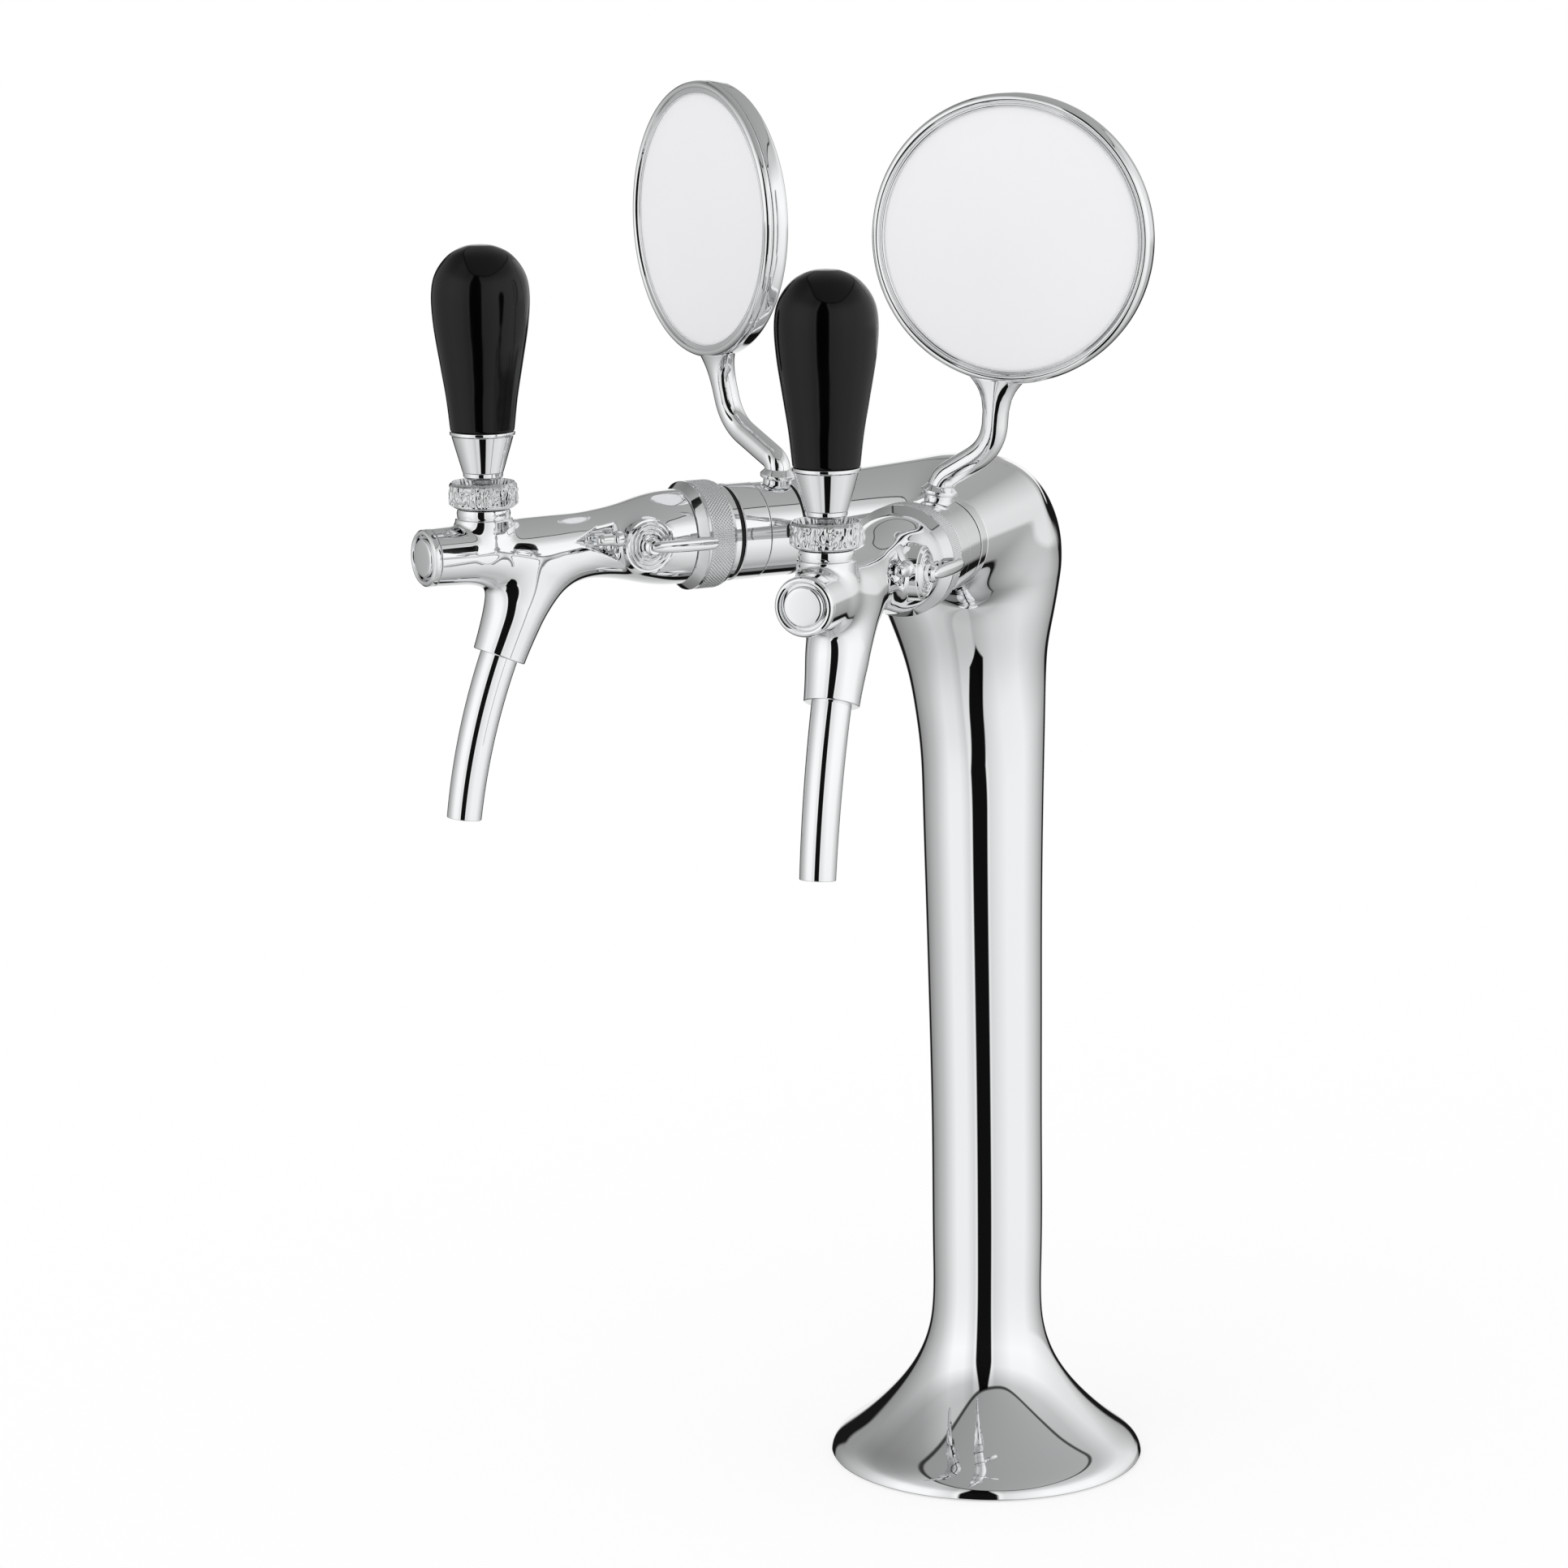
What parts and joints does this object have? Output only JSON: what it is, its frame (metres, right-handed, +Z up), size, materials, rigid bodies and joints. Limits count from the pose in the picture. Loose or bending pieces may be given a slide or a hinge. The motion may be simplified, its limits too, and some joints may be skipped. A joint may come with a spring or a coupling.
{
  "type": "beer tower dispenser",
  "caption": "Curved chrome bar tower with V-arranged arms, compensator taps with black lever handles, and round badges on bent stems.",
  "frame": {"origin": "centre of the foot's underside, on the column's axis", "axes": "+Z up along the column, -Y to the front between the two taps, +X to the right seen from the front"},
  "size_m": [0.234, 0.2799, 0.5271],
  "materials": {
    "polished_chrome": "mirror polished chrome plate on brass",
    "knurled_chrome": "chrome plate over a knurl",
    "gloss_black_plastic": "moulded phenolic, gloss",
    "opal_acrylic": "opal acrylic sheet",
    "black_rubber": "moulded rubber",
    "stainless_tube": "drawn stainless tube",
    "zinc_steel": "zinc-plated steel",
    "white_polymer": "machined acetal",
    "grey_foam": "closed-cell foam"
  },
  "bodies": {
    "tower": {"tower_column": "polished_chrome", "base_flange": "zinc_steel", "base_gasket": "black_rubber", "flange_screws": "zinc_steel", "cooling_loop": "stainless_tube", "insulation_sleeve": "grey_foam", "collar_seals": "black_rubber", "clamp_washers": "polished_chrome", "tail_washers": "black_rubber", "nut_snap_rings": "zinc_steel", "spout_seals": "black_rubber", "badge_set_screws": "zinc_steel", "beer_line_left": "stainless_tube", "shank_left": "polished_chrome", "collar_left": "polished_chrome", "union_nut_left": "knurled_chrome", "badge_ring_left": "polished_chrome", "tap_body_left": "polished_chrome", "spout_tube_left": "polished_chrome", "front_bush_left": "polished_chrome", "ball_seat_left": "white_polymer", "lock_nut_left": "knurled_chrome", "compensator_cap_left": "polished_chrome", "stop_pin_left": "polished_chrome", "medallion_housing_left": "polished_chrome", "medallion_bezel_left": "polished_chrome", "medallion_lens_left": "opal_acrylic", "badge_stem_left": "polished_chrome", "beer_line_right": "stainless_tube", "shank_right": "polished_chrome", "collar_right": "polished_chrome", "union_nut_right": "knurled_chrome", "badge_ring_right": "polished_chrome", "tap_body_right": "polished_chrome", "spout_tube_right": "polished_chrome", "front_bush_right": "polished_chrome", "ball_seat_right": "white_polymer", "lock_nut_right": "knurled_chrome", "compensator_cap_right": "polished_chrome", "stop_pin_right": "polished_chrome", "medallion_housing_right": "polished_chrome", "medallion_bezel_right": "polished_chrome", "medallion_lens_right": "opal_acrylic", "badge_stem_right": "polished_chrome"},
    "handle_left": {"handle_lever_left": "stainless_tube", "ferrule_left": "polished_chrome", "knob_left": "gloss_black_plastic"},
    "plunger_set_left": {"plunger_left": "stainless_tube", "plunger_seal_left": "black_rubber", "front_button_left": "polished_chrome"},
    "flow_lever_left": {"compensator_lever_left": "polished_chrome"},
    "flow_cone_left": {"compensator_cone_left": "white_polymer"},
    "handle_right": {"handle_lever_right": "stainless_tube", "ferrule_right": "polished_chrome", "knob_right": "gloss_black_plastic"},
    "plunger_set_right": {"plunger_right": "stainless_tube", "plunger_seal_right": "black_rubber", "front_button_right": "polished_chrome"},
    "flow_lever_right": {"compensator_lever_right": "polished_chrome"},
    "flow_cone_right": {"compensator_cone_right": "white_polymer"}
  },
  "joints": [
    {"name": "handle_tilt_left", "type": "hinge", "parent": "tower", "child": "handle_left", "pos_m": [-0.07707, -0.19423, 0.3865], "axis": [0.9379, -0.3469, 0], "range_deg": [0, 24]},
    {"name": "plunger_slide_left", "type": "slide", "parent": "tower", "child": "plunger_set_left", "axis": [0.3469, 0.9379, 0], "range_m": [0, 0.00606]},
    {"name": "flow_lever_turn_left", "type": "hinge", "parent": "tower", "child": "flow_lever_left", "pos_m": [-0.05712, -0.1403, 0.367], "axis": [0.9379, -0.3469, 0], "range_deg": [0, 90]},
    {"name": "flow_cone_slide_left", "type": "slide", "parent": "tower", "child": "flow_cone_left", "axis": [0.3469, 0.9379, 0], "range_m": [0, 0.00293]},
    {"name": "handle_tilt_right", "type": "hinge", "parent": "tower", "child": "handle_right", "pos_m": [0.07707, -0.19423, 0.3865], "axis": [0.9379, 0.3469, 0], "range_deg": [0, 24]},
    {"name": "plunger_slide_right", "type": "slide", "parent": "tower", "child": "plunger_set_right", "axis": [-0.3469, 0.9379, 0], "range_m": [0, 0.00606]},
    {"name": "flow_lever_turn_right", "type": "hinge", "parent": "tower", "child": "flow_lever_right", "pos_m": [0.05712, -0.1403, 0.367], "axis": [0.9379, 0.3469, 0], "range_deg": [0, 90]},
    {"name": "flow_cone_slide_right", "type": "slide", "parent": "tower", "child": "flow_cone_right", "axis": [-0.3469, 0.9379, 0], "range_m": [0, 0.00293]}
  ],
  "couplings": [
    {"joint": "plunger_slide_left", "follows": "handle_tilt_left", "m_per_rad": 0.014},
    {"joint": "flow_cone_slide_left", "follows": "flow_lever_turn_left", "m_per_rad": 0.0018006},
    {"joint": "plunger_slide_right", "follows": "handle_tilt_right", "m_per_rad": 0.014},
    {"joint": "flow_cone_slide_right", "follows": "flow_lever_turn_right", "m_per_rad": 0.0018006}
  ]
}
